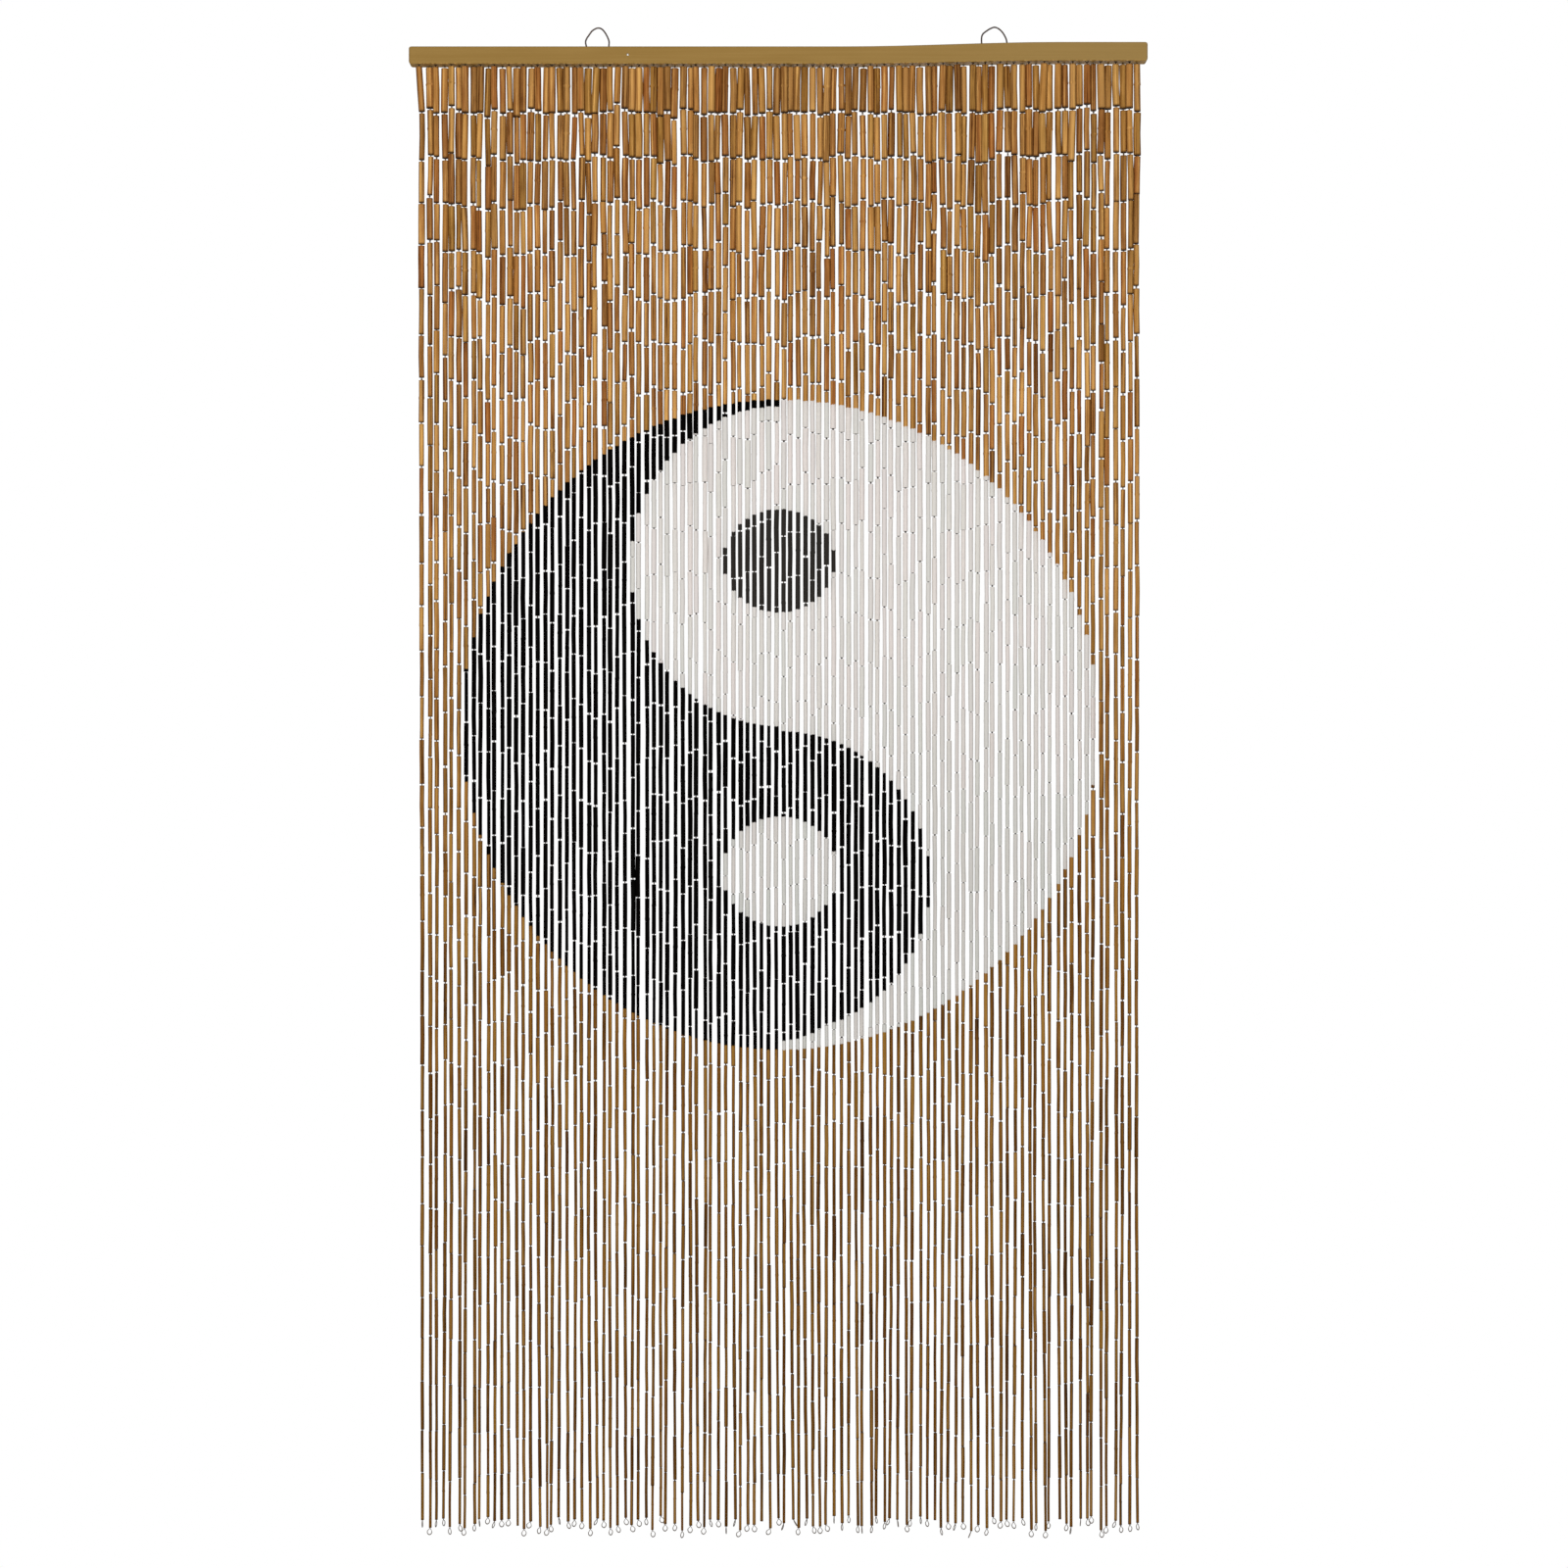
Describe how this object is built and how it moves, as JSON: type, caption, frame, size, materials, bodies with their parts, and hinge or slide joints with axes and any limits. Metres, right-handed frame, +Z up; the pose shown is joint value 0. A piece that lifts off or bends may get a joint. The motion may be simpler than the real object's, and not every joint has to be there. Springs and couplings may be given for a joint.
{
  "type": "bamboo door curtain with hanging bar",
  "caption": "Long curtain of bamboo tube strands under a painted wooden bar with two wire hanging loops; it covers a doorway.",
  "frame": {"origin": "middle of the bar's top face, on its flat left stretch's level", "axes": "+Z up, +X to the right as seen from the front, the curtain faces -Y"},
  "size_m": [1, 0.022, 2.0516],
  "materials": {
    "painted_wood": "khaki-gold satin paint on a planed wooden batten",
    "loop_wire": "dull grey-brown annealed steel wire, lightly rusted",
    "nail_steel": "bright wire nail",
    "bamboo": "thin bamboo tubes, satin, golden tan to brown, painted black and white in the middle"
  },
  "bodies": {
    "root": {"header_bar": "painted_wood", "hang_loop_left": "loop_wire", "hang_loop_right": "loop_wire", "header_nail": "nail_steel", "strands": "bamboo"}
  },
  "joints": []
}
